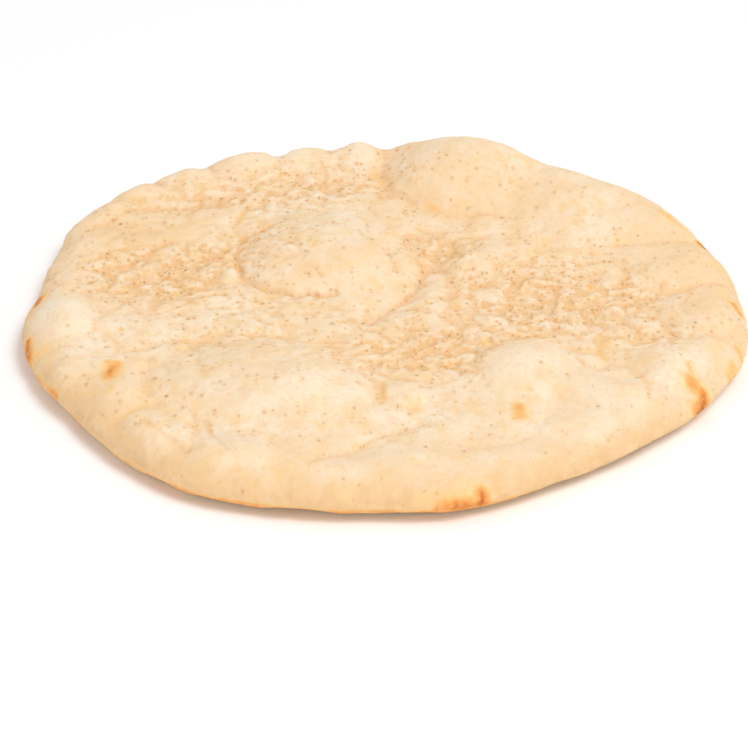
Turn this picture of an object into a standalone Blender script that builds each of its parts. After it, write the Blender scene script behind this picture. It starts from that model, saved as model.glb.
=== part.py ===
"""A pita bread: one round flat loaf with a soft rolled edge, puffed up into broad, uneven bubbles.

It lies on its flat underside at z = 0, with the middle of its outline on the Z axis. +Y is the side
where the tallest bubble swells over the edge. All sizes are in metres.
"""

from math import atan2, cos, exp, hypot, pi, radians, sin
from typing import NamedTuple

import bmesh
import bpy
from mathutils import Vector, noise

# Driving dimensions.
LOAF_RADIUS = 0.0900  # the round that the dough was rolled to
DOUGH_THICKNESS = 0.0097  # baked dough between the bubbles
THICKER_BACK = 0.0023  # more than that at the back edge, growing from the middle
EDGE_SWELL = 0.0009  # how much the ring just inside the edge stands over the dough
FRONT_ROLL = 0.0150  # width of the roll from the top down to the edge
BACK_ROLL = 0.0100
UNDER_ROLL = 0.0105  # width of the roll from the edge in to the flat underside, on average
EDGE_HEIGHT = 0.46  # where the edge sticks out furthest, as a share of the thickness there

# The ring inside the edge: its place and half-width, as shares of the loaf's radius.
EDGE_RING_PLACE = 0.90
EDGE_RING_WIDTH = 0.06

# Unevenness of rolled and baked dough: size of the waves and how far they rise and fall.
BROAD_WAVE, BROAD_RISE = 0.024, 0.0005
SMALL_WAVE, SMALL_RISE = 0.0085, 0.0003
EDGE_WAVE, EDGE_RISE = 0.014, 0.0009  # in and out, along the edge
UNDER_WAVE, UNDER_RISE = 0.030, 0.0050  # of the width of the roll underneath

# The crust between the bubbles lies in small rounded lumps: how far apart, and how tall.
LUMP_SPACING, LUMP_RISE = 0.0115, 0.0007

# Mesh.
GRID_CELLS = 48  # across the top; each square ring of the grid becomes a round one
ROLL_STEPS = 10  # from the top, over the edge, to the underside


class Bulge(NamedTuple):
    """A stretch of the edge that lies outside, or with a minus inside, the round."""

    azimuth: float  # degrees from +X towards +Y
    spread: float  # degrees
    reach: float  # share of the loaf's radius


class Bubble(NamedTuple):
    """A place where steam pushed the top crust up."""

    x: float  # its middle, as shares of the loaf's radius
    y: float
    half_length: float  # shares of the loaf's radius
    half_width: float
    turn: float  # degrees from +X towards +Y
    rise: float  # share of the dough's thickness
    softness: float  # 1 meets the dough in a crease, 2 fades into it


class Crease(NamedTuple):
    """A groove where the crust folded between bubbles, from point to point."""

    points: tuple  # (x, y) as shares of the loaf's radius
    half_width: float  # share of the loaf's radius
    depth: float  # share of the dough's thickness


BULGES = (
    Bulge(azimuth=10, spread=9, reach=0.018),
    Bulge(azimuth=38, spread=15, reach=0.036),
    Bulge(azimuth=75, spread=12, reach=0.040),
    Bulge(azimuth=99, spread=12, reach=0.028),
    Bulge(azimuth=137, spread=17, reach=0.062),
    Bulge(azimuth=169, spread=9, reach=-0.032),
    Bulge(azimuth=212, spread=11, reach=-0.036),
    Bulge(azimuth=245, spread=11, reach=0.032),
    Bulge(azimuth=281, spread=6, reach=0.020),
    Bulge(azimuth=312, spread=16, reach=-0.030),
)

BIG_BUBBLES = (
    # the tall one that swells over the rear edge, and the long swell that runs on from it
    Bubble(x=0.26, y=0.80, half_length=0.26, half_width=0.27, turn=-10, rise=0.77, softness=1.3),
    Bubble(x=0.60, y=0.62, half_length=0.48, half_width=0.27, turn=-42, rise=0.42, softness=1.6),
    # left of the middle, right of the middle, and the broad one at the front left
    Bubble(x=-0.165, y=0.285, half_length=0.26, half_width=0.275, turn=0, rise=0.48, softness=1.2),
    Bubble(x=0.38, y=-0.37, half_length=0.165, half_width=0.19, turn=0, rise=0.38, softness=1.3),
    Bubble(x=-0.30, y=-0.47, half_length=0.31, half_width=0.29, turn=-8, rise=0.42, softness=1.4),
)

SMALL_BUBBLES = (
    # lobes on the big ones
    Bubble(x=-0.05, y=0.17, half_length=0.12, half_width=0.13, turn=20, rise=0.14, softness=1.8),
    Bubble(x=-0.21, y=-0.52, half_length=0.15, half_width=0.13, turn=0, rise=0.12, softness=1.8),
    # round the right side
    Bubble(x=0.77, y=-0.36, half_length=0.12, half_width=0.13, turn=0, rise=0.21, softness=1.5),
    Bubble(x=0.64, y=-0.50, half_length=0.09, half_width=0.08, turn=30, rise=0.14, softness=1.5),
    Bubble(x=0.56, y=-0.33, half_length=0.07, half_width=0.06, turn=0, rise=0.13, softness=1.5),
    Bubble(x=0.84, y=0.20, half_length=0.14, half_width=0.13, turn=0, rise=0.12, softness=1.5),
    Bubble(x=0.89, y=-0.07, half_length=0.12, half_width=0.14, turn=0, rise=0.13, softness=1.5),
    Bubble(x=0.89, y=-0.27, half_length=0.09, half_width=0.10, turn=0, rise=0.10, softness=1.5),
    # in the middle
    Bubble(x=0.27, y=0.25, half_length=0.10, half_width=0.09, turn=0, rise=0.15, softness=1.6),
    Bubble(x=0.13, y=0.01, half_length=0.08, half_width=0.10, turn=-20, rise=0.15, softness=1.6),
    Bubble(x=0.07, y=0.21, half_length=0.06, half_width=0.07, turn=0, rise=0.22, softness=1.3),
    Bubble(x=0.07, y=-0.54, half_length=0.07, half_width=0.055, turn=0, rise=0.20, softness=1.3),
    # round the left side
    Bubble(x=-0.86, y=-0.10, half_length=0.09, half_width=0.14, turn=10, rise=0.26, softness=1.6),
    Bubble(x=-0.85, y=-0.43, half_length=0.08, half_width=0.10, turn=0, rise=0.22, softness=1.5),
    Bubble(x=-0.68, y=-0.51, half_length=0.08, half_width=0.13, turn=-10, rise=0.22, softness=1.4),
    Bubble(x=-0.58, y=-0.71, half_length=0.08, half_width=0.10, turn=15, rise=0.24, softness=1.3),
    Bubble(x=-0.39, y=-0.82, half_length=0.14, half_width=0.10, turn=-20, rise=0.20, softness=1.6),
)

# Pinched lumps along the rear left edge: azimuth of each, and its share of a full lump's size.
EDGE_LUMPS = ((93, 1.0), (100, 0.6), (106, 0.9), (115, 1.2), (125, 0.8), (134, 0.6), (145, 0.9))
EDGE_LUMP = Bubble(x=0.93, y=0, half_length=0.09, half_width=0.075, turn=0, rise=0.24, softness=1.5)

CREASES = (
    # beside and in front of the rear bubble
    Crease(((0.03, 1.00), (0.00, 0.84), (0.02, 0.68), (0.09, 0.60), (0.24, 0.55)), 0.05, 0.16),
    # in front of the left bubble, and up its right side
    Crease(((-0.36, 0.09), (-0.29, 0.04), (-0.20, 0.03)), 0.03, 0.10),
    Crease(((-0.02, -0.08), (0.07, 0.01), (0.11, 0.10), (0.12, 0.19)), 0.03, 0.12),
    # inside the rear left edge
    Crease(((-0.82, 0.44), (-0.72, 0.54), (-0.62, 0.59), (-0.48, 0.62)), 0.045, 0.10),
    # radial folds at the right edge
    Crease(((0.60, 0.28), (0.70, 0.35), (0.95, 0.36)), 0.035, 0.10),
    Crease(((0.76, 0.04), (0.86, 0.09), (1.00, 0.02)), 0.035, 0.10),
    # folds along the front
    Crease(((-0.62, -0.34), (-0.62, -0.50)), 0.03, 0.10),
    Crease(((-0.49, -0.80), (-0.48, -0.92)), 0.035, 0.12),
    Crease(((-0.09, -0.85), (0.00, -0.75), (0.12, -0.68)), 0.035, 0.09),
    Crease(((0.22, -0.83), (0.34, -0.79), (0.48, -0.75)), 0.035, 0.08),
    Crease(((0.57, -0.30), (0.63, -0.39), (0.68, -0.47)), 0.03, 0.10),
)


def small_bubbles_and_lumps():
    """The small bubbles, with the edge's lumps set round the loaf."""
    lumps = [
        EDGE_LUMP._replace(
            x=EDGE_LUMP.x * cos(radians(azimuth)),
            y=EDGE_LUMP.x * sin(radians(azimuth)),
            half_length=EDGE_LUMP.half_length * share,
            turn=azimuth + 90,
            rise=EDGE_LUMP.rise * share,
        )
        for azimuth, share in EDGE_LUMPS
    ]
    return (*SMALL_BUBBLES, *lumps)


SMALL_BUBBLES_AND_LUMPS = small_bubbles_and_lumps()


def wave(x, y, size, layer):
    """Smooth unevenness from -1 to 1 with waves of this size; each layer has its own pattern."""
    return noise.noise(Vector((x / size, y / size, 7.3 * layer)))


def lump(x, y):
    """How far the small lumps lift the crust: a rounded mound on each cell, with creases between."""
    drift = Vector((wave(x, y, LUMP_SPACING, layer=4), wave(x, y, LUMP_SPACING, layer=5), 0))
    place = Vector((x, y, 0)) / LUMP_SPACING + 0.4 * drift
    nearest, second = noise.voronoi(place)[0][:2]
    return LUMP_RISE * min(1.0, second - nearest) ** 0.5


def edge_radius(azimuth):
    """The loaf's outline: a circle with its bulges and a little waviness."""
    degrees = azimuth * 180 / pi
    radius = LOAF_RADIUS
    for bulge in BULGES:
        apart = (degrees - bulge.azimuth + 180) % 360 - 180
        radius += LOAF_RADIUS * bulge.reach * exp(-0.5 * (apart / bulge.spread) ** 2)
    x, y = LOAF_RADIUS * cos(azimuth), LOAF_RADIUS * sin(azimuth)
    return radius + EDGE_RISE * wave(x, y, EDGE_WAVE, layer=1)


def bubble_rise(bubble, x, y):
    """How far this bubble lifts the crust at x, y."""
    turn = radians(bubble.turn)
    dx = x / LOAF_RADIUS - bubble.x
    dy = y / LOAF_RADIUS - bubble.y
    along = (dx * cos(turn) + dy * sin(turn)) / bubble.half_length
    across = (dy * cos(turn) - dx * sin(turn)) / bubble.half_width
    inside = max(0.0, 1 - along**2 - across**2)
    return DOUGH_THICKNESS * bubble.rise * inside**bubble.softness


def joint_rise(bubbles, x, y):
    """How far these bubbles lift the crust together.

    The fourth-power sum lets the taller of two win, and keeps a soft valley between them.
    """
    return sum(bubble_rise(bubble, x, y) ** 4 for bubble in bubbles) ** 0.25


def distance_to_line(x, y, points):
    """The distance from x, y to the line through these points."""
    nearest = LOAF_RADIUS
    for start, end in zip(points, points[1:]):
        run = Vector(end) - Vector(start)
        to_here = Vector((x, y)) - Vector(start)
        share = min(1.0, max(0.0, to_here.dot(run) / run.length_squared))
        nearest = min(nearest, (to_here - run * share).length)
    return nearest


def crease_depth(crease, x, y):
    """How far this crease sinks the crust at x, y."""
    away = distance_to_line(x / LOAF_RADIUS, y / LOAF_RADIUS, crease.points) / crease.half_width
    return DOUGH_THICKNESS * crease.depth * exp(-(away**2))


def smoothstep(share):
    """0 up to share 0, 1 from share 1 on, and an even slope between."""
    share = min(1.0, max(0.0, share))
    return share * share * (3 - 2 * share)


def front_to_back(azimuth, front, back):
    """A size that changes evenly round the loaf, from its front to its back."""
    return front + (back - front) * (1 + sin(azimuth)) / 2


def top_height(x, y):
    """Height of the top crust, before it rolls down to the edge."""
    from_ring = (hypot(x, y) / edge_radius(atan2(y, x)) - EDGE_RING_PLACE) / EDGE_RING_WIDTH
    height = DOUGH_THICKNESS + EDGE_SWELL * exp(-(from_ring**2))
    height += THICKER_BACK * smoothstep(y / LOAF_RADIUS)
    height += BROAD_RISE * wave(x, y, BROAD_WAVE, layer=2)
    height += SMALL_RISE * wave(x, y, SMALL_WAVE, layer=3)
    height += lump(x, y)
    height += joint_rise(BIG_BUBBLES, x, y)
    height += joint_rise(SMALL_BUBBLES_AND_LUMPS, x, y)
    return height - sum(crease_depth(crease, x, y) for crease in CREASES)


def under_roll(azimuth):
    """Width of the roll underneath: the edge lifts further off the table in some places."""
    x, y = LOAF_RADIUS * cos(azimuth), LOAF_RADIUS * sin(azimuth)
    return UNDER_ROLL + UNDER_RISE * wave(x, y, UNDER_WAVE, layer=6)


def roll_point(azimuth, tilt):
    """A point on the rolled edge: tilt is pi/2 where it leaves the top, 0 at the edge, -pi/2 underneath."""
    width = front_to_back(azimuth, FRONT_ROLL, BACK_ROLL) if tilt > 0 else under_roll(azimuth)
    radius = edge_radius(azimuth) - width * (1 - cos(tilt))
    x, y = radius * cos(azimuth), radius * sin(azimuth)
    edge_height = EDGE_HEIGHT * top_height(x, y)
    if tilt > 0:
        return Vector((x, y, edge_height + (top_height(x, y) - edge_height) * sin(tilt)))
    return Vector((x, y, edge_height * (1 + sin(tilt))))


def top_point(u, v):
    """A point on the top for a point of the square from -1 to 1: square rings become round ones."""
    ring = max(abs(u), abs(v))
    if ring == 0:
        return Vector((0, 0, top_height(0, 0)))
    if abs(u) >= abs(v):
        azimuth = pi / 4 * v / u + (0 if u > 0 else pi)
    else:
        azimuth = pi / 2 - pi / 4 * u / v + (0 if v > 0 else pi)
    radius = ring * (edge_radius(azimuth) - front_to_back(azimuth, FRONT_ROLL, BACK_ROLL))
    x, y = radius * cos(azimuth), radius * sin(azimuth)
    return Vector((x, y, top_height(x, y)))


def add_top(bm):
    """The top as a grid; returns the edges along its rim."""
    bmesh.ops.create_grid(bm, x_segments=GRID_CELLS, y_segments=GRID_CELLS, size=1)
    for vert in bm.verts:
        vert.co = top_point(vert.co.x, vert.co.y)
    return [edge for edge in bm.edges if edge.is_boundary]


def roll_edge(bm, rim):
    """Extrudes the rim over the loaf's edge in steps; returns the last ring of edges."""
    for step in range(1, ROLL_STEPS + 1):
        tilt = pi / 2 - pi * step / ROLL_STEPS
        made = bmesh.ops.extrude_edge_only(bm, edges=rim)["geom"]
        for vert in (item for item in made if isinstance(item, bmesh.types.BMVert)):
            vert.co = roll_point(atan2(vert.co.y, vert.co.x), tilt)
        rim = [item for item in made if isinstance(item, bmesh.types.BMEdge) and item.is_boundary]
    return rim


def centre_outline(bm):
    """Puts the middle of the loaf's outline on the Z axis."""
    low = Vector(min(vert.co[axis] for vert in bm.verts) for axis in range(3))
    high = Vector(max(vert.co[axis] for vert in bm.verts) for axis in range(3))
    middle = (low + high) / 2
    bmesh.ops.translate(bm, verts=bm.verts, vec=(-middle.x, -middle.y, -low.z))
    print(f"pita_bread: {[round(1000 * side, 1) for side in high - low]} mm, outline moved by "
          f"{1000 * middle.x:.1f}, {1000 * middle.y:.1f} mm")


def crust_material():
    """Pale baked dough, matt."""
    material = bpy.data.materials.new("pale_crust")
    material.use_nodes = True
    shader = material.node_tree.nodes["Principled BSDF"]
    shader.inputs["Base Color"].default_value = (0.97, 0.76, 0.52, 1)
    shader.inputs["Roughness"].default_value = 0.75
    shader.inputs["Metallic"].default_value = 0.0
    return material


def make_pita():
    bm = bmesh.new()
    rim = add_top(bm)
    rim = roll_edge(bm, rim)
    bmesh.ops.contextual_create(bm, geom=rim)
    bmesh.ops.recalc_face_normals(bm, faces=bm.faces)
    centre_outline(bm)
    mesh = bpy.data.meshes.new("pita_bread")
    bm.to_mesh(mesh)
    bm.free()
    mesh.shade_smooth()
    mesh.materials.append(crust_material())
    pita = bpy.data.objects.new("pita_bread", mesh)
    bpy.context.collection.objects.link(pita)


for old in list(bpy.data.objects):
    bpy.data.objects.remove(old)
make_pita()
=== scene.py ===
# %% [markdown]
# # Dressing a pita bread
# A pita is a flat round of soft wheat dough, baked in a few minutes on a very hot floor. Steam lifts
# the top crust into bubbles, the crust folds where two bubbles meet, and the highest and the outermost
# places toast first. The dough is speckled with bran, because the flour isn't fully sifted.
#
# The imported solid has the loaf's outline, its thickness and its main bubbles. What it lacks is what an
# eye looks for in bread: fine folds, little lumps, dents underneath, bran, toasted spots and a crust
# that lets some light through. All of that is added here, on a copy of the solid, so that the bread
# keeps its size.

from math import cos, pi, radians, sin

import bmesh
import bpy
import numpy as np
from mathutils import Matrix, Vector
from mathutils.kdtree import KDTree


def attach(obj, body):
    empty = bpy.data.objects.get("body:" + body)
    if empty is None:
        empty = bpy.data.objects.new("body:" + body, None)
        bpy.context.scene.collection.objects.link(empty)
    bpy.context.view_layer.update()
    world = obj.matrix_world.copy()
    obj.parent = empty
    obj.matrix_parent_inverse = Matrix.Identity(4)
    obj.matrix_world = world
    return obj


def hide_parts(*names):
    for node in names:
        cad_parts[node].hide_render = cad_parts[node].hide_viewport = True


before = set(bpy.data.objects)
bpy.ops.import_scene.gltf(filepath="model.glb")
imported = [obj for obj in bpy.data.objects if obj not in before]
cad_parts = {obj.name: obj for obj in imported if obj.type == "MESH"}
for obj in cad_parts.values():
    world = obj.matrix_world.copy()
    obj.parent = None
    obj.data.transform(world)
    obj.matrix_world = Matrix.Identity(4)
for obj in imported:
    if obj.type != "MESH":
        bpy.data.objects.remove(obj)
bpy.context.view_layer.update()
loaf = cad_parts["pita_bread"]
MM = 0.001  # every size below is in millimetres times this

# %% [markdown]
# ## A copy to work on
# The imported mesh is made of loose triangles, and it has to stay as it is. So a copy is made, its
# corners are merged, and pairs of triangles become quads, which subdivide more evenly. Most operators
# act on everything that is selected, so one helper selects a single piece and nothing else.

# %% Copy the loaf and merge its corners
def only(piece):
    """Selects this piece alone and makes it the active one."""
    bpy.ops.object.select_all(action="DESELECT")
    piece.select_set(True)
    bpy.context.view_layer.objects.active = piece


crust = bpy.data.objects.new("pita_crust", loaf.data.copy())
bpy.context.scene.collection.objects.link(crust)
only(crust)
bpy.ops.object.mode_set(mode="EDIT")
bpy.ops.mesh.select_all(action="SELECT")
bpy.ops.mesh.remove_doubles(threshold=0.01 * MM)
bpy.ops.mesh.tris_convert_to_quads()
bpy.ops.object.mode_set(mode="OBJECT")
print("merged copy:", len(crust.data.vertices), "corners,", len(crust.data.polygons), "faces")

# %% [markdown]
# ## An even skin
# The solid's faces are about 3 mm wide on top and much longer underneath. Fine folds need small faces
# of one size. Subdividing everything would waste most of them on the flat underside. A voxel remesh
# gives an even skin instead: one smooth subdivision first rounds off the solid's flat faces, the remesh
# lays a new skin over the result, and a little smoothing takes out the remesh's own ripple.

# %% Lay an even skin over the copy
SKIN_FACE = 1.32 * MM


def apply_modifier(piece, kind, **settings):
    """Adds one modifier to the piece, sets it and applies it."""
    only(piece)
    modifier = piece.modifiers.new(kind.lower(), kind)
    for name, value in settings.items():
        setattr(modifier, name, value)
    bpy.ops.object.modifier_apply(modifier=modifier.name)


apply_modifier(crust, "SUBSURF", levels=1, render_levels=1)
apply_modifier(crust, "REMESH", mode="VOXEL", voxel_size=SKIN_FACE, use_smooth_shade=True)
apply_modifier(crust, "SMOOTH", factor=0.5, iterations=4)
print("even skin:", len(crust.data.polygons), "faces of", SKIN_FACE / MM, "mm")

# %% [markdown]
# ## A finer top
# Everything that an eye follows is on the top and round the edge, so only the faces there are cut once
# more. Faces are chosen by where they look: a face whose normal points clearly down is underside.

# %% Cut the top and the edge finer
LOOKS_DOWN = -0.2  # the Z part of a normal, below which a face belongs to the underside


def select_faces(wanted):
    """In edit mode, selects the faces for which wanted(face) is true, and nothing else."""
    bpy.ops.mesh.select_all(action="DESELECT")
    edit = bmesh.from_edit_mesh(crust.data)
    for face in edit.faces:
        if wanted(face):
            face.select_set(True)
    bmesh.update_edit_mesh(crust.data)


only(crust)
bpy.ops.object.mode_set(mode="EDIT")
bpy.ops.mesh.select_mode(type="FACE")
select_faces(lambda face: face.normal.z > LOOKS_DOWN)
bpy.ops.mesh.subdivide(number_cuts=1)
bpy.ops.mesh.select_mode(type="VERT")
bpy.ops.mesh.vertices_smooth(factor=0.5, repeat=3)
bpy.ops.object.mode_set(mode="OBJECT")
print("finer top:", sum(len(face.vertices) - 2 for face in crust.data.polygons), "triangles")

# %% [markdown]
# ## Where the crust is rough and full of bran
# Over a bubble the crust is stretched smooth and its bran is spread thin; between bubbles it lies in
# lumps, with the bran close together. Both follow one map: soft ellipses laid on the loaf in plan, each
# adding to the crust's roughness or taking from it. With numpy the map is read for all vertices at once.

# %% Map the rough stretches
PLAIN_CRUST = 0.26  # roughness where no ellipse reaches
ROUGH_STRETCHES = (  # (x, y, half length, half width in mm, turn in degrees, amount)
    (-24, 63, 42, 11, 12, 0.65), (-57, 9, 18, 13, 0, 0.62), (41, 2, 25, 19, 0, 0.62), (49, 4, 13, 10, 0, 0.30),
    (12, -27, 20, 13, 15, 0.62), (14, 28, 9, 11, 0, 0.50), (-30, 28, 10, 14, 20, 0.35), (-42, 24, 12, 9, 0, 0.35),
    (-22, -10, 22, 8, 0, 0.22), (-36, -24, 24, 7, 0, 0.20), (62, -20, 14, 8, 0, 0.25), (6, 66, 7, 10, 0, 0.10), (16, 73, 15, 11, 0, -0.08),
    (0, -80, 60, 10, 0, -0.16), (58, 52, 28, 17, -42, -0.20), (82, -5, 12, 40, 0, -0.04), (34, -33, 9, 12, 0, -0.45),
    (-80, -12, 12, 18, 0, -0.26), (48, -47, 16, 10, 0, -0.10), (-20, -52, 18, 12, 0, -0.08), (-8, 14, 12, 14, 0, -0.15),
)


def places(mesh):
    """The places and the normals of all vertices, as two tables with a row for each vertex."""
    place = np.empty(len(mesh.vertices) * 3, np.float32)
    normal = np.empty(len(mesh.vertices) * 3, np.float32)
    mesh.vertices.foreach_get("co", place)
    mesh.vertex_normals.foreach_get("vector", normal)
    return place.reshape(-1, 3).astype(float), normal.reshape(-1, 3).astype(float)


def ramp(values, low, high):
    """0 where a value is at or under low, 1 at or over high, and a soft slope between."""
    share = np.clip((values - low) / (high - low), 0.0, 1.0)
    return share * share * (3.0 - 2.0 * share)


def ellipse(x, y, half_x, half_y, turn=0):
    """For each vertex, 1 in the middle of this ellipse in plan and 0 well outside it."""
    turned = radians(turn)
    dx, dy = place[:, 0] / MM - x, place[:, 1] / MM - y
    a = (dx * cos(turned) + dy * sin(turned)) / half_x
    b = (dy * cos(turned) - dx * sin(turned)) / half_y
    return np.exp(-(a * a + b * b))


def stretches(patches):
    """For each vertex, the sum of these ellipses."""
    return sum(patch[5] * ellipse(*patch[:5]) for patch in patches)


SMOOTH_STRETCHES = (  # where bran lies, but not in lumps: the rear left edge and the bubbles' flanks
    (-28, 68, 46, 13, 12, -0.34), (12, 72, 15, 16, 0, -0.22), (-52, -8, 18, 9, 0, -0.10), (4, 66, 9, 14, 0, -0.40), (-32, 24, 8, 12, 0, -0.30),
)

place, normal = places(crust.data)
rough = np.clip(PLAIN_CRUST + stretches(ROUGH_STRETCHES), 0.03, 1.0)
lumpy = np.clip(rough + stretches(SMOOTH_STRETCHES), 0.03, 1.0)
print("rough stretches:", len(ROUGH_STRETCHES), "mean roughness", round(float(rough.mean()), 2))

# %% [markdown]
# A vertex group says how strongly a modifier acts on each vertex. Three are made: the rough crust, the
# whole upper side, and the underside, which are told apart by where their normals point.

# %% Make the vertex groups
def weight_group(name, weights):
    """Makes a vertex group of the crust with one weight for each vertex, in 20 steps."""
    group = crust.vertex_groups.new(name=name)
    steps = np.round(weights * 20).astype(int)
    for step in range(1, 21):
        group.add(np.flatnonzero(steps == step).tolist(), step / 20, "REPLACE")
    return group


upper = ramp(normal[:, 2], -0.1, 0.45)
weight_group("upper", upper)
weight_group("lumpy", upper * lumpy)
weight_group("under", ramp(-normal[:, 2], 0.2, 0.8))
weight_group("rim", ramp(1.0 - np.abs(normal[:, 2]), 0.25, 0.80))
print("weights: upper", round(float(upper.mean()), 2), "lumpy", round(float((upper * lumpy).mean()), 2))

# %% [markdown]
# ## Lumps and wrinkles
# The crust between the bubbles sits in small rounded lumps, some 5 mm across, with creases between
# them, and everywhere it has a leathery wrinkle. Nobody would place those one by one. A Displace
# modifier moves each vertex along its normal by a texture's value: a cell texture (distance to the
# second cell less distance to the first) gives mounds with creases, clouds give soft unevenness.

# %% Raise the lumps and the wrinkles
def displace(name, kind, size, height, middle, group, **settings):
    """Moves the crust along its normals by a texture whose pattern is this large."""
    texture = bpy.data.textures.new(name, kind)
    texture.noise_scale = size
    for setting, value in settings.items():
        setattr(texture, setting, value)
    apply_modifier(crust, "DISPLACE", texture=texture, texture_coords="LOCAL", strength=height,
                   mid_level=middle, vertex_group=group)


displace("crust_lumps", "DISTORTED_NOISE", 6.0 * MM, 0.62 * MM, 0.35, "lumpy",
         noise_basis="VORONOI_F2_F1", noise_distortion="IMPROVED_PERLIN", distortion=0.9)
displace("big_lumps", "DISTORTED_NOISE", 11 * MM, 1.0 * MM, 0.35, "lumpy",
         noise_basis="VORONOI_F2_F1", noise_distortion="IMPROVED_PERLIN", distortion=1.2)
displace("small_lumps", "DISTORTED_NOISE", 3.6 * MM, 0.08 * MM, 0.35, "lumpy",
         noise_basis="VORONOI_F2_F1", noise_distortion="IMPROVED_PERLIN", distortion=1.1)
displace("wrinkles", "CLOUDS", 2.4 * MM, 0.03 * MM, 0.5, "lumpy",
         noise_basis="IMPROVED_PERLIN", noise_depth=2)
displace("soft_waves", "CLOUDS", 10 * MM, 0.95 * MM, 0.5, "upper",
         noise_basis="IMPROVED_PERLIN", noise_depth=1)
displace("rim_waves", "CLOUDS", 6 * MM, 1.1 * MM, 0.5, "rim",
         noise_basis="IMPROVED_PERLIN", noise_depth=2)
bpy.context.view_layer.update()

# %% [markdown]
# ## Folds and blisters
# The clear folds and small blisters each have their own place, so they are made as by hand: vertices
# along a short line are selected and moved straight up or down with proportional editing, which takes
# the crust round them along. The falloff sets the form: SHARP gives the pinched bottom of a fold,
# SPHERE the round top of a blister. The underside is hidden first, so that a pull on the top doesn't
# reach through the bread.

# %% Helpers to press folds and raise blisters
def along(points, step=0.5 * MM):
    """Points in plan along the line through these points in millimetres, a step apart."""
    line = []
    for start, end in zip(points, points[1:]):
        start, end = Vector(start) * MM, Vector(end) * MM
        count = max(1, round((end - start).length / step))
        line += [start.lerp(end, share / count) for share in range(count)]
    return line + [Vector(points[-1]) * MM]


def find_top():
    """A search tree of the top's vertices in plan."""
    edit = bmesh.from_edit_mesh(crust.data)
    tops = [vert for vert in edit.verts if not vert.hide]
    tree = KDTree(len(tops))
    for vert in tops:
        tree.insert((vert.co.x, vert.co.y, 0.0), vert.index)
    tree.balance()
    return tree


def move_crust(tree, points, reach, shift, falloff):
    """Moves the crust along a line by this shift in millimetres, and what is within reach with it."""
    bpy.ops.mesh.select_all(action="DESELECT")
    edit = bmesh.from_edit_mesh(crust.data)
    edit.verts.ensure_lookup_table()
    for spot in along(points):
        edit.verts[tree.find((spot.x, spot.y, 0.0))[1]].select = True
    bmesh.update_edit_mesh(crust.data)
    bpy.ops.transform.translate(
        value=[part * MM for part in shift], use_proportional_edit=True, proportional_size=reach * MM,
        proportional_edit_falloff=falloff, use_proportional_connected=False)


def start_pulling(top_only=True):
    """Opens the crust in edit mode, as a rule with its underside hidden, and returns the search tree."""
    only(crust)
    bpy.ops.object.mode_set(mode="EDIT")
    if top_only:
        bpy.ops.mesh.select_mode(type="FACE")
        select_faces(lambda face: face.normal.z <= 0.1)
        bpy.ops.mesh.hide(unselected=False)
    bpy.ops.mesh.select_mode(type="VERT")
    return find_top()


def stop_pulling():
    """Shows the underside again and leaves edit mode."""
    bpy.ops.mesh.reveal(select=False)
    bpy.ops.object.mode_set(mode="OBJECT")


# %% [markdown]
# The edge of a real loaf isn't a drawn curve. A few wide sideways pulls, which take the whole thickness
# along, push it out where the dough ran and draw it in where it held.

# %% Push the edge out and in
EDGE_PULLS = (  # (line in mm, reach in mm, shift in x and y in mm)
    (((-62, 62), (-78, 44)), 15, (-0.9, 0.9)), (((70, 45), (86, 20)), 16, (1.0, 0.6)),
    (((88, -4), (86, -24)), 15, (1.3, -0.3)), (((84, -28), (80, -34)), 10, (0.7, -0.4)),
)

tree = start_pulling(top_only=False)
for line, reach, shift in EDGE_PULLS:
    move_crust(tree, line, reach, shift + (0,), "SMOOTH")
stop_pulling()
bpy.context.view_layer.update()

# %% [markdown]
# A blister is a line (or one point), how far its foot reaches, and its rise. Two pulls make each one:
# a wide soft one, and a narrower round one on top.

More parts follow.
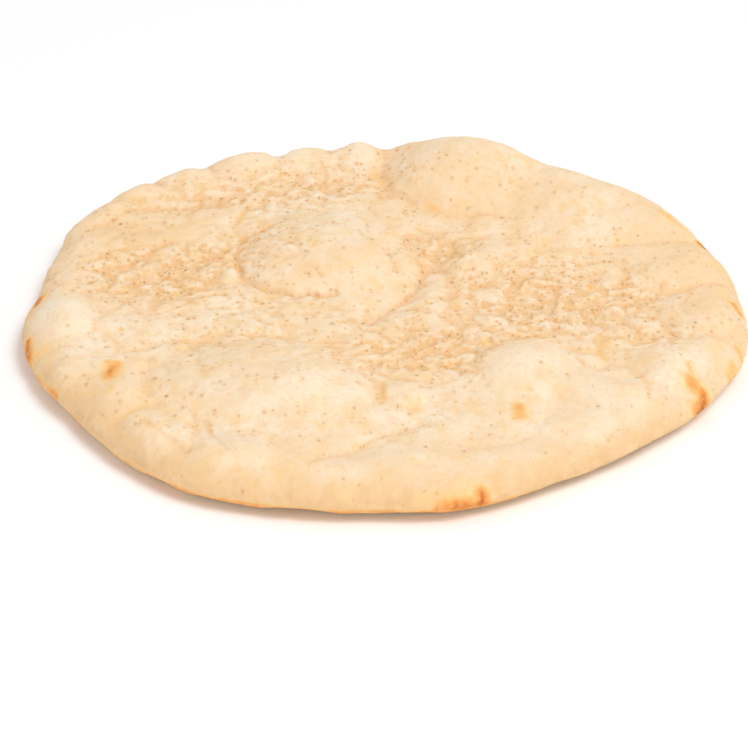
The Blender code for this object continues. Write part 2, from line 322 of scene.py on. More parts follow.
# %% Raise the blisters
BLISTERS = (  # (line in mm, reach in mm, rise in mm)
    # along the rear left edge
    (((-44, 77), (-37, 80)), 6, 1.5), (((-22, 85),), 6, 1.1), (((-8, 88),), 6, 1.4), (((2, 89), (6, 88)), 6, 0.9), (((-56, 70),), 6, 0.9), (((-67, 60),), 5, 0.9),
    # left side
    (((-75, -5), (-74, -14)), 8, 0.7), (((-76, -36),), 5.5, 0.6), (((-39, 16), (-39, 11)), 2.6, 0.6),
    (((-60, 16),), 5, 0.35), (((-57, 47),), 7, 0.4), (((-46, 46),), 6, 0.35), (((-58, 35),), 6, 0.3),
    (((-59, -33), (-58.5, -48)), 2.8, 0.5), (((-58, -53),), 4.5, 0.45), (((-46.5, -60), (-45, -71)), 2.6, 0.5),
    (((-72, -44),), 4, 0.4), (((-66, -33),), 4, 0.3),
    # round the middle
    (((22, 14), (25, 26)), 6.5, 0.75), (((5, 17.5),), 4.5, 0.7), (((13, 12), (12, 4)), 4, 0.5),
    (((-5, -21),), 4.5, 0.5), (((-6.5, -28),), 3, 0.4), (((1, -12),), 4, 0.45), (((12, -12),), 4.5, 0.45),
    (((27, -12),), 3.8, 0.5), (((4, -31),), 3.5, 0.35), (((13, -31),), 4, 0.35), (((9, -41),), 4, 0.35),
    (((4.5, -47), (6, -51)), 4.8, 0.8), (((-7, -46), (-8, -54)), 4, 0.4), (((-23, -6), (-23, -12)), 2.8, 0.45),
    (((-44, -4), (-44, -12)), 5, 0.35), (((-34, 3),), 5, 0.4), (((-9, 47),), 6, 0.35), (((-22, 46),), 6, 0.4),
    # right side
    (((34, -32),), 15, -0.9), (((48, 62), (62, 50)), 12, -0.7), (((-5, 85), (3, 84)), 6, 0.6), (((9, 86), (14, 87)), 7, 0.6), (((46, -14),), 3.6, 0.5), (((46, 13),), 3.5, 0.35), (((64, 25),), 5.5, 0.4), (((69, 15),), 6, 0.4),
    (((35, 27),), 5, 0.4), (((36, 5),), 4, 0.35), (((59, -18),), 4.5, 0.4), (((64, -13),), 4, 0.35),
    (((50, -31.5),), 3, 0.55), (((55, -37),), 3.4, 0.5), (((51, -43),), 7.5, 0.5), (((59, -46),), 4, 0.45),
    (((68, -38),), 6, 0.45), (((81, -8),), 6, 0.4), (((71, -24),), 4, 0.35), (((80, 24),), 6, 0.35),
    # front
    (((14, -64),), 6.5, 0.5), (((27, -62),), 6, 0.35), (((4, -75), (12, -76)), 6, 0.45),
    (((-22, -68),), 8, 0.4), (((-31, -77),), 6, 0.4), (((-3, -58),), 4, 0.3),
)

tree = start_pulling()
for line, reach, rise in BLISTERS:
    move_crust(tree, line, reach * 1.25, (0, 0, rise * 0.5), "SMOOTH")
    move_crust(tree, line, reach, (0, 0, rise * 0.5), "SPHERE")
stop_pulling()
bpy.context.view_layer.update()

# %% [markdown]
# A fold is a line of points, how far it draws the crust down on each side, and its depth. A wide
# shallow sink carries a narrow sharp one, as in a real crease.

# %% Press the folds
FOLDS = (  # (line in mm, reach in mm, depth in mm)
    # dips in the rear left edge
    (((-29, 84), (-28, 78)), 4, 0.8), (((-15, 88), (-15, 82)), 4, 0.7), (((-48, 76), (-46, 70)), 4, 0.7), (((-62, 66), (-59, 61)), 4, 0.6),
    # round the left bubble
    (((-30, 38), (-35, 34), (-37.5, 30), (-38, 24), (-37, 18)), 2.6, 0.55),
    (((-37, 18), (-36, 13), (-33, 9), (-30, 6), (-26, 4.5), (-22, 2), (-19, 3), (-16, 2), (-12, 2.5)), 1.8, 0.95),
    (((15, 32), (14, 26), (12, 20), (9.5, 13), (8, 7), (5, 1), (0, -5), (-3, -10)), 2.8, 0.7),
    (((13, 21), (15, 17), (17, 12)), 1.8, 0.45), (((1, 22), (3, 14)), 1.7, 0.45),
    # rear left
    (((-78, 38), (-71, 42), (-67, 48), (-61, 51), (-50, 51), (-46, 54)), 3.4, 0.45),
    (((-36, 51), (-38, 44), (-39, 40)), 2.0, 0.6), (((-67, 16), (-64, 21), (-61, 23), (-59, 27), (-56, 30)), 2.2, 0.5),
    (((-46, 21), (-43, 25), (-41, 28)), 1.8, 0.4),
    # round the rear bubble and the swell
    (((11, 52), (15, 49), (20, 48), (27, 46.5), (34, 44)), 3.0, 0.46),
    (((0, 86), (-0.5, 70), (2, 60), (8, 54)), 3.2, 0.5),
    (((50, 28), (54, 29), (61, 29.5), (70, 30), (82, 31)), 3.2, 0.34),
    # right side
    (((68, 5.5), (75, 5.5), (80, 8), (87, 10.5)), 2.6, 0.42), (((53, -19), (52, -25), (53, -31)), 2.4, 0.5),
    (((46, -31), (48, -34), (51, -36), (54, -33), (58, -35), (60.5, -39), (62, -44), (62, -50)), 2.6, 0.42),
    (((44, -40), (43.5, -46), (41, -51)), 1.8, 0.3), (((73, -22), (80, -19.5), (87, -18)), 3.4, 0.36),
    (((69.5, -19), (69, -28)), 1.6, 0.35),
    (((24.5, -28), (27, -23), (32, -19.5), (37, -18.5), (41, -21), (43, -26)), 2.4, 0.25),
    # round the broad bubble at the front left
    (((-70, -31), (-65, -30), (-60, -27), (-53, -23), (-49, -21.5), (-45, -23), (-41, -20.5), (-36, -19.5), (-29, -20), (-21, -20)), 2.4, 0.38),
    (((-56, -30), (-56, -37), (-56.5, -44), (-54.5, -50)), 2.4, 0.42), (((-62, -60), (-57, -56), (-52, -53.5)), 2.6, 0.42), (((-55.4, -62.5), (-51, -68), (-47, -71), (-44.8, -75)), 2.2, 0.42),
    (((-43.8, -60), (-43, -67), (-43.4, -74)), 2.0, 0.40),
    (((-53, -33), (-51, -38)), 1.7, 0.35), (((-46, -25), (-44, -30), (-44, -37), (-41, -41)), 2.0, 0.3),
    (((-1, -44), (-0.7, -52)), 1.7, 0.6),
    # along the front and the left edge
    (((10, -62), (4, -65), (0, -66.5), (-3, -69), (-6, -74), (-11, -77), (-16, -80)), 3.0, 0.42),
    (((-41, -62), (-39, -70), (-35, -77)), 2.0, 0.45), (((18, -74), (24, -73), (30, -71.5), (34, -68), (37, -63), (38, -59)), 4.2, 0.30),
    (((-68, -7), (-70.5, -14), (-71, -21)), 2.4, 0.4), (((-85, -27), (-77, -26), (-69, -28)), 3.2, 0.28),
)

tree = start_pulling()
for line, reach, depth in FOLDS:
    move_crust(tree, line, reach * 2.0, (0, 0, depth * -0.5), "SMOOTH")
    move_crust(tree, line, reach * 0.9, (0, 0, depth * -0.8), "SHARP")
stop_pulling()
apply_modifier(crust, "SMOOTH", factor=0.2, iterations=1)
print("folds:", len(FOLDS), "lines")

# %% [markdown]
# ## The underside
# Underneath, the crust lay on the hot floor: it is flat, with shallow dents where steam lifted it. The
# dents are pushed up into the bread and never down, so that it still rests at the same height.

# %% Dent the underside
displace("floor_dents", "CLOUDS", 17 * MM, -2.2 * MM, 0.42, "under", noise_basis="IMPROVED_PERLIN", noise_depth=1)
displace("floor_grain", "CLOUDS", 4 * MM, -0.5 * MM, 0.4, "under", noise_basis="IMPROVED_PERLIN", noise_depth=2)
only(crust)
bpy.ops.object.mode_set(mode="EDIT")
bpy.ops.mesh.select_all(action="DESELECT")
edit = bmesh.from_edit_mesh(crust.data)
for vert in edit.verts:
    vert.select_set(vert.co.z < 0.0)
bmesh.update_edit_mesh(crust.data)
bpy.ops.transform.resize(value=(1.0, 1.0, 0.0), center_override=(0.0, 0.0, 0.0))
bpy.ops.object.mode_set(mode="OBJECT")
crust.vertex_groups.clear()
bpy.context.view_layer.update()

# %% [markdown]
# ## Painting: hollows, bran and toasting
# The material needs to know where the crust is hollow or raised, for painted shade in the hollows and
# painted light on the lumps' tops, where bran gathered, and where it was toasted.
# Those could be painted with a brush. Here three attributes are worked out, one value for each vertex.
# A hollow is where a vertex lies under the average of its neighbourhood: the places are averaged with
# their neighbours again and again, and compared with where they started.

# %% Find the hollows
def neighbour_average(values, edges, count, rounds):
    """Each value averaged with its neighbours along the mesh's edges, this many rounds."""
    ends = np.concatenate([edges[:, 0], edges[:, 1]])
    others = np.concatenate([edges[:, 1], edges[:, 0]])
    neighbours = np.bincount(ends, minlength=count)
    for _ in range(rounds):
        total = np.stack([np.bincount(ends, values[others, axis], count) for axis in range(3)], axis=1)
        values = 0.5 * values + 0.5 * total / neighbours[:, None]
    return values


def attribute(name, values):
    """Stores one value for each vertex of the crust under this name."""
    made = crust.data.attributes.new(name, "FLOAT", "POINT")
    made.data.foreach_set("value", values.astype(np.float32))


edges = np.empty(len(crust.data.edges) * 2, int)
crust.data.edges.foreach_get("vertices", edges)
place, normal = places(crust.data)
averaged = neighbour_average(place, edges.reshape(-1, 2), len(place), rounds=30)
sunk = ((averaged - place) * normal).sum(axis=1)
hollow = ramp(sunk, 0.0, 0.10 * MM)
attribute("hollow", hollow)
attribute("raised", ramp(-sunk, 0.01 * MM, 0.11 * MM))
print("hollows: a share of", round(float(hollow.mean()), 2))

# %% [markdown]
# Bran follows the map of rough stretches, and gathers in hollows and in the folds; the folds also get a
# painted shade. The crust's golden tone has a map of its own: the middle and the rear baked a little
# longer than the front. The lower wall of the front rim also gets the golden tone and a tan band, as
# painted shade, partly over real leathery crust.

# %% Spread the bran, the golden tone and the painted shade on the rim
def nearest_on(points):
    """For each vertex, how far in millimetres it lies in plan from the line through these points."""
    away = [(place[:, 0] - spot.x) ** 2 + (place[:, 1] - spot.y) ** 2 for spot in along(points, step=1.0 * MM)]
    return np.sqrt(np.min(away, axis=0)) / MM


GOLDEN_STRETCHES = (  # (x, y, half length, half width in mm, turn in degrees, amount)
    (-62, 32, 20, 16, 0, 1.05), (-56, 8, 20, 12, 0, 0.55), (5, 8, 8, 16, 0, 0.35), (-14, 22, 14, 14, 0, 0.25),
    (18, 60, 18, 18, 0, 0.55), (52, 52, 24, 14, -40, 0.25), (-30, 64, 40, 12, 10, 0.20), (45, 2, 28, 20, 0, 0.45),
    (14, -27, 20, 14, 0, 0.75), (14, 28, 9, 12, 0, 0.60), (83, 0, 10, 34, 0, 0.45), (80, 32, 12, 22, 20, 0.7),
    (-20, -26, 28, 7, 0, 0.25), (-68, -55, 14, 18, -40, 0.75), (-10, -80, 50, 10, 0, 0.30), (48, -70, 30, 12, 30, 0.12),
)
FLOURY_STRETCHES = (
    (34, -32, 13, 12, 0, 0.75), (-80, -10, 13, 18, 0, 0.60), (-20, -46, 24, 16, 0, 0.45), (-40, -12, 16, 9, 0, 0.35),
    (16, 72, 16, 10, 0, 0.25), (-66, -12, 14, 12, 0, 0.20), (52, -63, 22, 12, 25, 0.62),
    (-15, 48, 12, 6, 0, 0.30), (60, -40, 14, 10, 0, 0.15), (54, 54, 20, 14, -40, 0.25), (-28, 66, 38, 10, 12, 0.26),
)
BRAN_STRETCHES = (  # where there is more or less bran than the lumps alone would hold
    (-30, 66, 40, 11, 12, -0.24), (42, -58, 26, 14, 20, -0.12), (50, -34, 16, 9, 0, -0.08), (-70, 24, 13, 20, 0, 0.14),
    (-12, 24, 20, 16, 0, 0.06), (62, 24, 12, 10, 0, -0.05),
)
bran = np.clip(0.10 + 1.05 * (rough - 0.10) + stretches(BRAN_STRETCHES), 0.06, 1.0) * (0.7 + 0.6 * hollow)
is_top = place[:, 2] > 2.5 * MM
folded = np.zeros(len(place))
for line, reach, depth in FOLDS:
    folded = np.maximum(folded, min(1.0, depth * 1.6) * np.exp(-(nearest_on(line) / 0.75) ** 2) * is_top)
attribute("folded", folded)
bran = np.where(is_top, np.maximum(bran, 0.8 * folded), 0.15)
attribute("bran", bran)
round_edge = ramp(np.hypot(place[:, 0], place[:, 1]), 0.070, 0.084)
front = ramp(-0.3 * place[:, 0] - 0.95 * place[:, 1], -0.02, 0.05)
# Painted shade: the last term darkens the lower wall of the front rim with the golden tone, where it turns away from
# the light; the rest is golden crust.
golden_and_rim_shade = stretches(GOLDEN_STRETCHES) + 1.0 * round_edge * front * (1.0 - ramp(place[:, 2], 5.0 * MM, 10.5 * MM))
golden_and_rim_shade = np.clip(golden_and_rim_shade, 0.0, 1.0)
attribute("golden_and_rim_shade", golden_and_rim_shade)
attribute("floury", np.clip(stretches(FLOURY_STRETCHES), 0.0, 1.0))
# The rim's lower wall, most at the front: leathery crust for the grain, and painted shade for the tan tint.
leathery_rim_and_shade = round_edge * (0.5 + 0.5 * front) * (1.0 - ramp(place[:, 2], 5.5 * MM, 11.0 * MM)) * ramp(place[:, 2], 0.0, 1.5 * MM)
attribute("leathery_rim_and_shade", leathery_rim_and_shade)
print("bran: up to", round(float(bran.max()), 2), "golden: mean", round(float(golden_and_rim_shade.mean()), 2))

# %% [markdown]
# Toasted spots are small and few, with a soft rim. Each is a line or a point with a radius and a
# strength from 0, raw, to 1, dark brown. The lowest part of the rolled edge, which leaned against the hot
# floor, is a little browned all round, most at the front left, and that band is also painted shadow
# under the edge. A few spots along the edges carry painted shadow too.

# %% Toast the spots, and brown the edge and paint shade along it
SPOTS = (  # (line in mm, radius in mm, strength)
    # left side and front left
    (((-64.6, -36.0), (-64.6, -41.0)), 2.3, 0.50), (((-64.6, -35), (-64.6, -42)), 4.4, 0.34), (((-64, -48), (-64, -50)), 2.6, 0.18),
    (((-66, -44), (-62, -44)), 2.4, 0.12), (((-55, -62), (-52, -67)), 2.8, 0.18),
    # The two thin lines that follow the left edge, here and on the next line, are browned crust and partly painted
    # shadow under the edge.
    (((-84.8, -25.5), (-82, -25)), 3.8, 0.20), (((-87, -18), (-86.4, -27), (-82, -37), (-78, -43)), 1.5, 0.60), (((-87, -20), (-86.2, -26)), 2.2, 0.52),
    (((-86.3, 5.2), (-87, 0.6)), 1.9, 0.74), (((-85.5, -30), (-82, -40), (-76, -50)), 1.4, 0.32),
    (((-69, -47),), 1.8, 0.24), (((-76, -36),), 1.2, 0.24), (((-64, -17),), 1.6, 0.25), (((-41.5, -64),), 1.6, 0.16),
    (((-57, -56), (-60, -59)), 1.8, 0.18), (((-38.4, 41), (-37, 49)), 1.8, 0.24),
    (((-35, 49),), 2.0, 0.20), (((-24.5, -81.5), (-23, -86)), 2.6, 0.17), (((-47, 37), (-55, 38)), 3.4, 0.14),
    # middle
    (((12, 51.5), (14, 50)), 2.4, 0.22), (((15, 49), (22, 47.5)), 2.2, 0.16), (((15, 32.5), (15.6, 31)), 2.2, 0.18),
    (((-30.3, 6),), 1.8, 0.32), (((-18.5, 53.5),), 2.0, 0.26), (((-30.5, -16.5),), 1.6, 0.30), (((-27, -13), (-27, -18)), 1.4, 0.22),
    (((21, -14),), 2.4, 0.22), (((24.5, -22),), 2.8, 0.26), (((7.5, -56),), 2.4, 0.22), (((0, -45), (0, -51)), 1.5, 0.24),
    (((-52, 4.5),), 1.9, 0.28), (((-61, 3.5),), 1.7, 0.22), (((-65.5, 6.5),), 1.7, 0.26), (((-33, 61),), 2.4, 0.18),
    (((-3, 72), (-1, 66)), 2.8, 0.20), (((-43.5, -41),), 2.6, 0.14),
    # right side
    (((51.8, 10), (52.2, 8.5)), 2.6, 0.26), (((52, 4), (53, 1.5)), 3.2, 0.17), (((50, 22), (50.5, 18)), 2.0, 0.18), (((41.3, 32), (41.6, 29)), 1.9, 0.22),
    (((53.5, -20), (54, -23)), 3.2, 0.22), (((52, -26), (53, -31)), 2.4, 0.20), (((31, -55.2), (31.3, -60.0)), 3.3, 0.33),
    (((66, 38.5),), 1.6, 0.24), (((46, 0), (57, -8)), 4.6, 0.10), (((64, -53),), 3.2, 0.12), (((41.5, -69),), 1.8, 0.14),
    # The streak down the right front edge, up to the first spot of the next line, is partly browned crust and partly
    # painted shadow where the edge turns under.
    (((72.3, -35.5), (73, -39.8)), 1.5, 0.26), (((73.2, -42.6),), 4.2, 0.42), (((75.4, -43), (75.8, -47)), 2.4, 0.56),
    (((75.9, -47.0), (74.6, -49.0)), 2.6, 0.95), (((85.9, -21), (86.6, -24)), 2.2, 0.30), (((82.0, 33.0), (84.6, 29.6)), 1.9, 0.62), (((70, 45), (78, 37)), 3.0, 0.24), (((75, 42),), 3.4, 0.18),
    (((84.5, 22), (86, 17)), 1.9, 0.20), (((84, 4), (86, 2)), 3.0, 0.20), (((87.2, 1.5), (88.8, -2.5)), 1.9, 0.52),
    (((84, -29), (83, -33)), 2.2, 0.34),
    # front rim
    (((22, -88.4), (21.6, -89.4)), 2.8, 0.56), (((22.1, -88.9),), 1.4, 0.80), (((20.4, -90.0), (12.0, -91.9)), 2.0, 0.52),
    (((18.5, -90.6), (15.5, -91.3)), 1.0, 0.66), (((8, -90.5), (18, -88.5)), 2.8, 0.17),
)
LOW_EDGE = 5.6 * MM


toast_and_edge_shade = np.zeros(len(place))
above_floor = ramp(place[:, 2], 0.4 * MM, 1.8 * MM)
for line, radius, strength in SPOTS:
    near = (nearest_on(line) / radius) ** 2
    spot = 0.55 * np.exp(-near / 0.32) + 0.45 * np.exp(-near / 1.3)  # a core and a soft halo
    toast_and_edge_shade = np.maximum(toast_and_edge_shade, strength * spot * above_floor)
front_left = ramp(-0.75 * place[:, 0] - 0.65 * place[:, 1], 0.0, 0.05)
low = 1.0 - ramp(place[:, 2], 2.4 * MM, LOW_EDGE)
flat_below = ramp(-normal[:, 2], 0.80, 0.97)
# Painted shadow and browned crust: the low edge band darkens the lowest part of the rolled edge, most at the front
# left, where shade falls under it.
toast_and_edge_shade = np.maximum(toast_and_edge_shade, (0.13 + 0.30 * front_left) * round_edge * low * (1.0 - 0.80 * flat_below))
attribute("toast_and_edge_shade", toast_and_edge_shade)
attribute("below", flat_below)
print("toasted:", len(SPOTS), "spots")

# %% [markdown]
# ## Shader helpers
# A material is a small network of nodes. Three helpers keep the cells short: one adds a node and feeds
# its sockets, one does a sum, and one mixes two colours.

# %% Helpers for node networks
def add(tree, kind, feeds=(), **settings):
    """Adds a node. Feeds give its sockets numbers, colours or other nodes' outputs."""
    made = tree.nodes.new(kind)
    for name, value in settings.items():
        setattr(made, name, value)
    for socket, value in dict(feeds).items():
        if isinstance(value, bpy.types.NodeSocket):
            tree.links.new(value, made.inputs[socket])
        else:
            made.inputs[socket].default_value = value
    return made


def calculate(tree, operation, first, second=0.0, third=0.0):
    """The output of one Math node."""
    return add(tree, "ShaderNodeMath", {0: first, 1: second, 2: third}, operation=operation).outputs[0]


def slope(tree, value, low, high, to_low=0.0, to_high=1.0):
    """Maps low..high to to_low..to_high with a soft start and end."""
    return add(tree, "ShaderNodeMapRange", {"Value": value, "From Min": low, "From Max": high,
                                            "To Min": to_low, "To Max": to_high},
               interpolation_type="SMOOTHSTEP").outputs[0]


def mix_colour(tree, share, first, second):
    """The second colour laid over the first by this share."""
    return add(tree, "ShaderNodeMix", {0: share, 6: first, 7: second}, data_type="RGBA").outputs[2]


def colour(red, green, blue):
    """A colour given as on a paint chart, 0 to 255, turned into the linear values that light needs."""
    return tuple((part / 255) ** 2.2 for part in (red, green, blue)) + (1.0,)


def new_group(name, inputs, outputs):
    """An empty shader node group with these inputs (name, kind, start value) and outputs (name, kind)."""
    group = bpy.data.node_groups.new(name, "ShaderNodeTree")
    for socket, kind, start in inputs:
        made = group.interface.new_socket(socket, in_out="INPUT", socket_type=kind)
        if start is not None:
            made.default_value = start
    for socket, kind in outputs:
        group.interface.new_socket(socket, in_out="OUTPUT", socket_type=kind)
    return group, group.nodes.new("NodeGroupInput").outputs, group.nodes.new("NodeGroupOutput").inputs


# %% [markdown]
# ## Bran specks as a node group
# Most bran is finer than half a millimetre: too fine to model, but the eye reads bread by it. A cell
# texture scatters one point in each cell; close to the point is a speck. The cell's own random colour
# says how large its speck is and whether it has one at all, so the painted amount can thin them out.
# The group is placed twice, for fine and coarse bran.

# %% Build the bran speck group
speck_tree, given, result = new_group(
    "bran_specks",
    [("Place", "NodeSocketVector", None), ("Per Metre", "NodeSocketFloat", 800.0),
     ("Radius", "NodeSocketFloat", 0.3), ("Amount", "NodeSocketFloat", 0.5)],
    [("Speck", "NodeSocketFloat"), ("Halo", "NodeSocketFloat"), ("Tone", "NodeSocketFloat")])
bend = add(speck_tree, "ShaderNodeTexNoise", {"Vector": given["Place"], "Scale": 1500.0, "Detail": 1.0})
bent = add(speck_tree, "ShaderNodeVectorMath", {0: bend.outputs["Color"], 1: (0.5, 0.5, 0.5)}, operation="SUBTRACT")
bent = add(speck_tree, "ShaderNodeVectorMath", {0: bent.outputs[0], 1: (0.0006,) * 3, 2: given["Place"]},
           operation="MULTIPLY_ADD")
cells = add(speck_tree, "ShaderNodeTexVoronoi", {"Vector": bent.outputs[0], "Scale": given["Per Metre"]})
chance = add(speck_tree, "ShaderNodeSeparateColor", {0: cells.outputs["Color"]})
size = calculate(speck_tree, "MULTIPLY", given["Radius"],
                 calculate(speck_tree, "MULTIPLY_ADD", chance.outputs["Red"], 0.7, 0.3))
present = calculate(speck_tree, "LESS_THAN", chance.outputs["Green"], given["Amount"])
inside = calculate(speck_tree, "DIVIDE", cells.outputs["Distance"], size)
speck_tree.links.new(calculate(speck_tree, "MULTIPLY", present, slope(speck_tree, inside, 1.1, 0.4)), result["Speck"])
speck_tree.links.new(calculate(speck_tree, "MULTIPLY", present, slope(speck_tree, inside, 2.6, 0.5)), result["Halo"])
speck_tree.links.new(chance.outputs["Blue"], result["Tone"])
print("bran speck group:", len(speck_tree.nodes), "nodes")

# %% [markdown]
# ## The crust's colour
# Pale cream dough, mottled warmer and yellower in patches a few millimetres wide; a tan haze where fine
# bran lies thick; specks; and toasting from gold to brown, its rim broken up by noise because dough never
# toasts evenly. Light and shade are painted in too: a darker pink in the hollows and a tan along the folds
# as painted shade, paler tops on the raised lumps as painted light, and the rim's lower wall and lowest
# edge darkened as painted shade, partly over real browning. The colours are a little paler than a baker
# would name them, because light that scatters in the dough warms them again.

# %% Mix the crust's colour
crust_paint = bpy.data.materials.new("baked_crust")
crust_paint.use_nodes = True
tree = crust_paint.node_tree
shader = tree.nodes["Principled BSDF"]
here = add(tree, "ShaderNodeTexCoord").outputs["Object"]
rolled = add(tree, "ShaderNodeMapping", {"Vector": here, "Scale": (1.0, 0.72, 1.0)}).outputs[0]


def painted(name):
    """The value that an attribute has here."""
    return add(tree, "ShaderNodeAttribute", attribute_name=name).outputs["Fac"]


def clouds(per_metre, detail=2.0, rough=0.5):
    """Soft noise in patches of about a metre over this number, longer the way the dough was rolled."""
    return add(tree, "ShaderNodeTexNoise", {"Vector": rolled, "Scale": per_metre, "Detail": detail,
                                            "Roughness": rough}).outputs["Fac"]


CREAM = colour(246, 221, 188)
PALE = colour(249, 230, 203)
FLOUR = colour(250, 232, 206)
BUTTER = colour(245, 209, 154)
GOLDEN = colour(242, 201, 149)
PINK = colour(241, 197, 150)
TAN = colour(235, 184, 124)

tint = mix_colour(tree, slope(tree, clouds(70.0, 3.0), 0.42, 0.66), CREAM, PALE)
tint = mix_colour(tree, calculate(tree, "MULTIPLY", painted("floury"), 0.85), tint, FLOUR)
tint = mix_colour(tree, calculate(tree, "MULTIPLY", painted("golden_and_rim_shade"), 0.70), tint, GOLDEN)
yellow = slope(tree, clouds(190.0, 4.0, 0.6), 0.42, 0.74, 0.0, 0.9)
yellow = calculate(tree, "MULTIPLY", yellow, slope(tree, painted("floury"), 0.1, 0.7, 1.0, 0.3))
tint = mix_colour(tree, yellow, tint, BUTTER)
tint = mix_colour(tree, slope(tree, clouds(105.0, 2.0), 0.44, 0.64, 0.0, 0.34), tint, GOLDEN)
# Tan on the rim's lower wall: partly leathery crust, partly painted shade where the wall turns down away from the
# light.
skin = calculate(tree, "MULTIPLY", painted("leathery_rim_and_shade"), slope(tree, clouds(260.0, 3.0, 0.6), 0.30, 0.70, 0.25, 0.75))
tint = mix_colour(tree, skin, tint, colour(228, 182, 130))
# Paler tops on the raised lumps where bran lies: partly paler dough, partly painted light on the tops.
some = slope(tree, clouds(240.0, 3.0, 0.6), 0.58, 0.36, 0.25, 1.0)
lit_pale_lump_tops = calculate(tree, "MULTIPLY", calculate(tree, "MULTIPLY", some, painted("raised")), slope(tree, painted("bran"), 0.1, 0.6))
tint = mix_colour(tree, calculate(tree, "MULTIPLY", lit_pale_lump_tops, 0.8), tint, PALE)
# Painted shade: a darker pink in the hollows where bran lies, for the shade and bounced light in them.
hollow_shade = calculate(tree, "MULTIPLY", painted("hollow"), slope(tree, painted("bran"), 0.1, 0.8, 0.12, 0.48))
tint = mix_colour(tree, hollow_shade, tint, PINK)
haze = calculate(tree, "MULTIPLY", slope(tree, painted("bran"), 0.15, 1.0), slope(tree, clouds(360.0, 4.0, 0.65), 0.38, 0.66))
tint = mix_colour(tree, calculate(tree, "MULTIPLY", haze, 0.68), tint, TAN)
tint = mix_colour(tree, slope(tree, clouds(850.0, 3.0, 0.6), 0.48, 0.74, 0.0, 0.30), tint, TAN)
baked = calculate(tree, "MULTIPLY", slope(tree, painted("bran"), 0.35, 1.0), slope(tree, clouds(270.0, 5.0, 0.70), 0.50, 0.72))
tint = mix_colour(tree, calculate(tree, "MULTIPLY", baked, 0.60), tint, colour(226, 164, 98))
# Painted shade along the folds: a darker tan in the creases, partly bran that gathered there.
tint = mix_colour(tree, calculate(tree, "MULTIPLY", painted("folded"), 0.25), tint, colour(226, 172, 120))
print("dough colour mixed")

# %% Add the specks, the toasting and the painted shade along the edge
patchy = slope(tree, clouds(330.0, 2.0), 0.38, 0.60, 0.45, 1.4)
amount = calculate(tree, "MULTIPLY", calculate(tree, "POWER", painted("bran"), 1.25), patchy)
clear = slope(tree, painted("bran"), 0.10, 0.60, 0.74, 1.0)
RUST = (colour(226, 152, 96), colour(206, 124, 76))  # lighter and darker
BROWN = (colour(202, 138, 84), colour(148, 106, 64))
for per_metre, radius, share, strength, (lighter, darker) in (
        (540.0, 0.38, 0.8, 0.42, RUST), (760.0, 0.42, 1.0, 0.40, BROWN),
        (480.0, 0.30, 1.0, 0.48, BROWN), (300.0, 0.15, 1.0, 0.74, BROWN)):
    specks = add(tree, "ShaderNodeGroup", node_tree=speck_tree)
    tree.links.new(rolled, specks.inputs["Place"])
    specks.inputs["Per Metre"].default_value = per_metre
    specks.inputs["Radius"].default_value = radius
    tree.links.new(calculate(tree, "MULTIPLY", amount, share), specks.inputs["Amount"])
    tint = mix_colour(tree, calculate(tree, "MULTIPLY", specks.outputs["Halo"], 0.30), tint, colour(232, 182, 120))
    tone = mix_colour(tree, slope(tree, specks.outputs["Tone"], 0.25, 0.75), lighter, darker)
    if darker is BROWN[1]:
        tone = mix_colour(tree, slope(tree, specks.outputs["Tone"], 0.89, 0.95), tone, colour(98, 76, 54))
    shown = calculate(tree, "MULTIPLY", specks.outputs["Speck"], calculate(tree, "MULTIPLY", clear, strength))
    tint = mix_colour(tree, shown, tint, tone)

uneven = calculate(tree, "ADD", calculate(tree, "MULTIPLY", clouds(900.0, 3.0, 0.6), 0.8), clouds(200.0, 2.0))
# One amount carries the browned crust and the painted shadow along the low edge; the ramp below turns it into colour.
browning_and_edge_shade = calculate(tree, "MULTIPLY", painted("toast_and_edge_shade"), slope(tree, uneven, 0.55, 1.25, 0.66, 1.30))
oven_marks = calculate(tree, "MULTIPLY", painted("below"), slope(tree, clouds(62.0, 4.0, 0.55), 0.50, 0.72, 0.0, 0.24))
browning_and_edge_shade = calculate(tree, "MAXIMUM", browning_and_edge_shade, oven_marks)
toast_and_shade_ramp = add(tree, "ShaderNodeValToRGB", {"Fac": browning_and_edge_shade})
stops = toast_and_shade_ramp.color_ramp.elements
stops[0].position, stops[0].color = 0.0, colour(247, 222, 178)
stops[1].position, stops[1].color = 1.0, colour(112, 60, 34)
for position, shade in ((0.20, colour(247, 202, 136)), (0.44, colour(240, 162, 88)), (0.68, colour(200, 112, 56))):
    stops.new(position).color = shade
tint = mix_colour(tree, slope(tree, browning_and_edge_shade, 0.03, 0.30), tint, toast_and_shade_ramp.outputs["Color"])
tree.links.new(tint, shader.inputs["Base Color"])
print("crust material:", len(tree.nodes), "nodes")

# %% [markdown]
# ## The crust's surface
# Close up, baked dough is matt and finely grained, with pin-prick pores. That is finer than the mesh,
# so it goes into a Bump node. Light also enters the dough and comes out a millimetre or two away, which
# is what makes bread look soft: subsurface scattering does that, stronger in red than in blue.

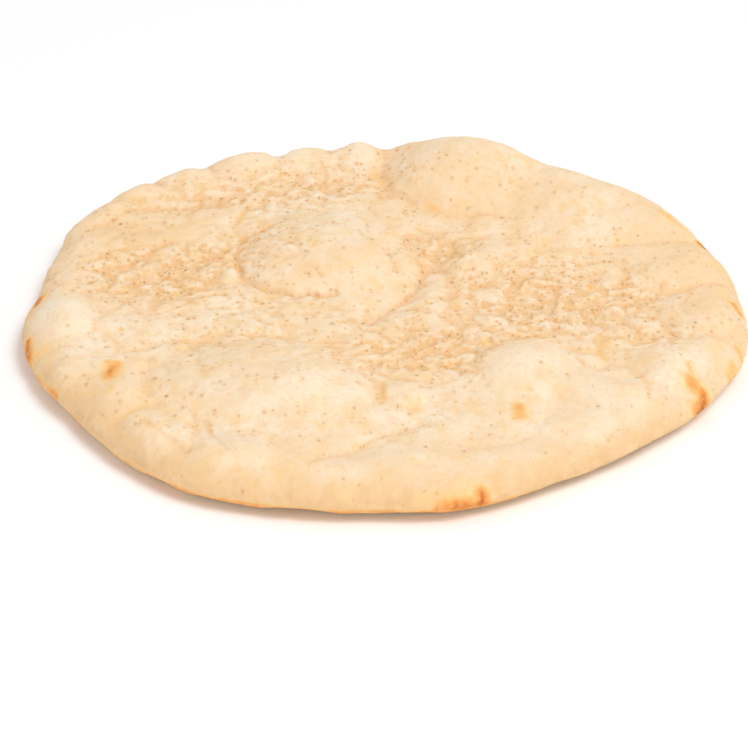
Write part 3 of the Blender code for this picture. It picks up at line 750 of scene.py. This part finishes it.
# %% Set the crust's grain and softness
grain = calculate(tree, "ADD", calculate(tree, "MULTIPLY", clouds(1300.0, 3.0, 0.6), 0.6), clouds(420.0, 3.0, 0.55))
drawn = add(tree, "ShaderNodeMapping", {"Vector": here, "Scale": (1.0, 1.0, 0.12)}).outputs[0]
drawn = add(tree, "ShaderNodeTexNoise", {"Vector": drawn, "Scale": 420.0, "Detail": 3.0}).outputs["Fac"]
grain = calculate(tree, "ADD", grain, calculate(tree, "MULTIPLY", drawn, calculate(tree, "MULTIPLY", painted("leathery_rim_and_shade"), 1.4)))
bump = add(tree, "ShaderNodeBump", {"Strength": 0.5, "Distance": 0.25 * MM, "Height": grain})
tree.links.new(bump.outputs["Normal"], shader.inputs["Normal"])
tree.links.new(slope(tree, clouds(300.0), 0.3, 0.7, 0.62, 0.80), shader.inputs["Roughness"])
shader.inputs["Specular IOR Level"].default_value = 0.30
shader.inputs["Subsurface Weight"].default_value = 0.18
shader.inputs["Subsurface Radius"].default_value = (1.0, 0.55, 0.30)
shader.inputs["Subsurface Scale"].default_value = 1.6 * MM

crust.data.materials.clear()
crust.data.materials.append(crust_paint)
crust.data.shade_smooth()
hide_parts("pita_bread")
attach(crust, "root")
print("crust:", sum(len(face.vertices) - 2 for face in crust.data.polygons), "triangles")

# %% [markdown]
# ## Camera, floor and light
# A long lens from not far above table height shows both the bubbles and the rolled edge. The floor is
# plain white, and large soft lights from above and the front keep the shadows weak, as in a catalogue.

# %% Place the camera
VIEW_RISE = 27.5  # degrees above the table
VIEW_DISTANCE = 0.70
AIM = Vector((-2.3, -31.7, 5.5)) * MM

camera = bpy.data.objects.new("camera", bpy.data.cameras.new("camera"))
bpy.context.scene.collection.objects.link(camera)
camera.location = (0.0, -VIEW_DISTANCE * cos(radians(VIEW_RISE)), 5.5 * MM + VIEW_DISTANCE * sin(radians(VIEW_RISE)))
camera.rotation_euler = (AIM - camera.location).to_track_quat("-Z", "Y").to_euler()
camera.data.sensor_width = 36.0
camera.data.lens = 134.8
bpy.context.scene.camera = camera
print("camera:", [round(part, 3) for part in camera.location])

# %% Lay the floor and set the lights
bpy.ops.mesh.primitive_plane_add(size=4.0, location=(0.0, 0.0, -0.05 * MM))
floor = bpy.context.object
floor.name = "table"
white = bpy.data.materials.new("white_table")
white.use_nodes = True
white.node_tree.nodes["Principled BSDF"].inputs["Base Color"].default_value = (0.97, 0.97, 0.97, 1.0)
white.node_tree.nodes["Principled BSDF"].inputs["Roughness"].default_value = 0.9
white.node_tree.nodes["Principled BSDF"].inputs["Emission Color"].default_value = (1.0, 1.0, 1.0, 1.0)
white.node_tree.nodes["Principled BSDF"].inputs["Emission Strength"].default_value = 0.03
floor.data.materials.append(white)


def soft_light(name, place, size, power):
    """A square area light that looks at the bread."""
    light = bpy.data.lights.new(name, "AREA")
    light.size, light.energy = size, power
    lamp = bpy.data.objects.new(name, light)
    bpy.context.scene.collection.objects.link(lamp)
    lamp.location = place
    lamp.rotation_euler = (-Vector(place)).to_track_quat("-Z", "Y").to_euler()


soft_light("key", (0.9, -0.7, 1.9), 1.1, 24.0)
soft_light("front_fill", (-0.9, -1.6, 0.7), 1.2, 3.0)
world = bpy.data.worlds.new("studio")
world.use_nodes = True
world.node_tree.nodes["Background"].inputs["Color"].default_value = (1.0, 1.0, 1.0, 1.0)
world.node_tree.nodes["Background"].inputs["Strength"].default_value = 0.64
bpy.context.scene.world = world
bpy.context.scene.view_settings.view_transform = "Standard"
